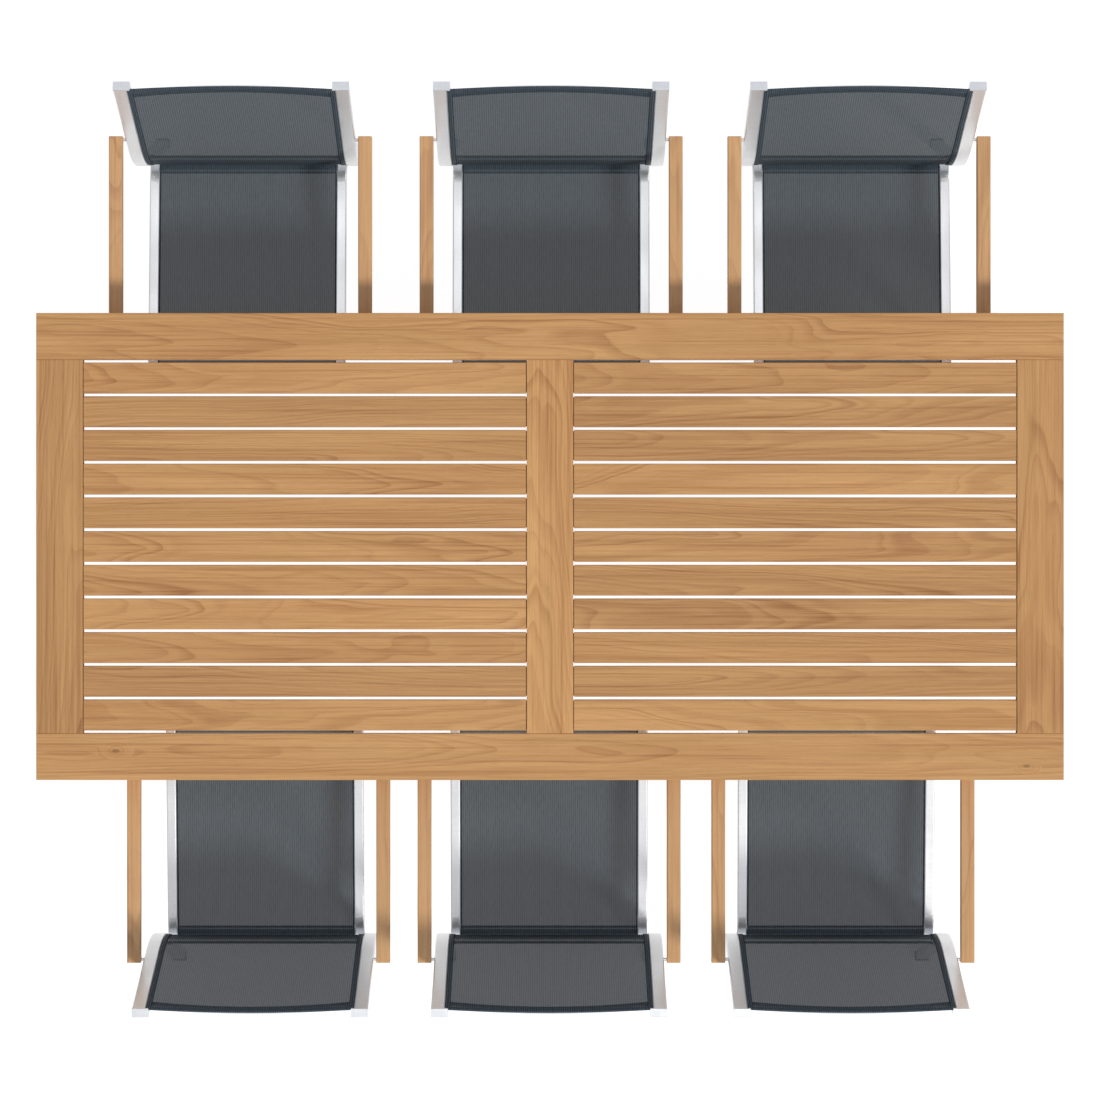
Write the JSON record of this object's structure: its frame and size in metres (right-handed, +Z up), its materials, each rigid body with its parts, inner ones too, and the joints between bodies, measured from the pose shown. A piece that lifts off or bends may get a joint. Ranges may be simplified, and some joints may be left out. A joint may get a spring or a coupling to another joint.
{
  "type": "patio dining set",
  "caption": "Slatted teak patio table with sling armrest chairs along both long sides; stainless tube frames, mesh seats and backs, and wooden arms.",
  "frame": {"origin": "on the floor under the middle of the table top, amid the whole set's footprint", "axes": "+X along the table's length, +Y across it towards chairs 1 to 3, +Z up"},
  "size_m": [2.2, 1.9718, 0.8747],
  "materials": {
    "teak": "sanded, lightly oiled teak",
    "brushed_steel": "brushed along the tube",
    "sling": "coated open mesh weave",
    "zinc_steel": "zinc plated",
    "black_plastic": "moulded"
  },
  "bodies": {
    "table": {"table_front_rail": "teak", "table_back_rail": "teak", "table_left_end_board": "teak", "table_centre_board": "teak", "table_right_end_board": "teak", "table_left_slats": "teak", "table_right_slats": "teak", "table_front_apron": "teak", "table_back_apron": "teak", "table_left_apron": "teak", "table_right_apron": "teak", "table_cross_bearer": "teak", "table_front_left_leg": "teak", "table_front_right_leg": "teak", "table_back_left_leg": "teak", "table_back_right_leg": "teak", "table_corner_brackets": "zinc_steel", "table_glides": "black_plastic"},
    "chair_1": {"chair_1_frame": "brushed_steel", "chair_1_seat_sling": "sling", "chair_1_back_sling": "sling", "chair_1_left_armrest": "teak", "chair_1_right_armrest": "teak", "chair_1_arm_bolts": "brushed_steel", "chair_1_glides": "black_plastic"},
    "chair_2": {"chair_2_frame": "brushed_steel", "chair_2_seat_sling": "sling", "chair_2_back_sling": "sling", "chair_2_left_armrest": "teak", "chair_2_right_armrest": "teak", "chair_2_arm_bolts": "brushed_steel", "chair_2_glides": "black_plastic"},
    "chair_3": {"chair_3_frame": "brushed_steel", "chair_3_seat_sling": "sling", "chair_3_back_sling": "sling", "chair_3_left_armrest": "teak", "chair_3_right_armrest": "teak", "chair_3_arm_bolts": "brushed_steel", "chair_3_glides": "black_plastic"},
    "chair_4": {"chair_4_frame": "brushed_steel", "chair_4_seat_sling": "sling", "chair_4_back_sling": "sling", "chair_4_left_armrest": "teak", "chair_4_right_armrest": "teak", "chair_4_arm_bolts": "brushed_steel", "chair_4_glides": "black_plastic"},
    "chair_5": {"chair_5_frame": "brushed_steel", "chair_5_seat_sling": "sling", "chair_5_back_sling": "sling", "chair_5_left_armrest": "teak", "chair_5_right_armrest": "teak", "chair_5_arm_bolts": "brushed_steel", "chair_5_glides": "black_plastic"},
    "chair_6": {"chair_6_frame": "brushed_steel", "chair_6_seat_sling": "sling", "chair_6_back_sling": "sling", "chair_6_left_armrest": "teak", "chair_6_right_armrest": "teak", "chair_6_arm_bolts": "brushed_steel", "chair_6_glides": "black_plastic"}
  },
  "joints": [
    {"name": "chair_1_pull_out", "type": "slide", "parent": "table", "child": "chair_1", "axis": [0, 1, 0], "range_m": [-0.15, 0.6]},
    {"name": "chair_2_pull_out", "type": "slide", "parent": "table", "child": "chair_2", "axis": [0, 1, 0], "range_m": [-0.15, 0.6]},
    {"name": "chair_3_pull_out", "type": "slide", "parent": "table", "child": "chair_3", "axis": [0, 1, 0], "range_m": [-0.15, 0.6]},
    {"name": "chair_4_pull_out", "type": "slide", "parent": "table", "child": "chair_4", "axis": [0, -1, 0], "range_m": [-0.15, 0.6]},
    {"name": "chair_5_pull_out", "type": "slide", "parent": "table", "child": "chair_5", "axis": [0, -1, 0], "range_m": [-0.15, 0.6]},
    {"name": "chair_6_pull_out", "type": "slide", "parent": "table", "child": "chair_6", "axis": [0, -1, 0], "range_m": [-0.15, 0.6]}
  ]
}
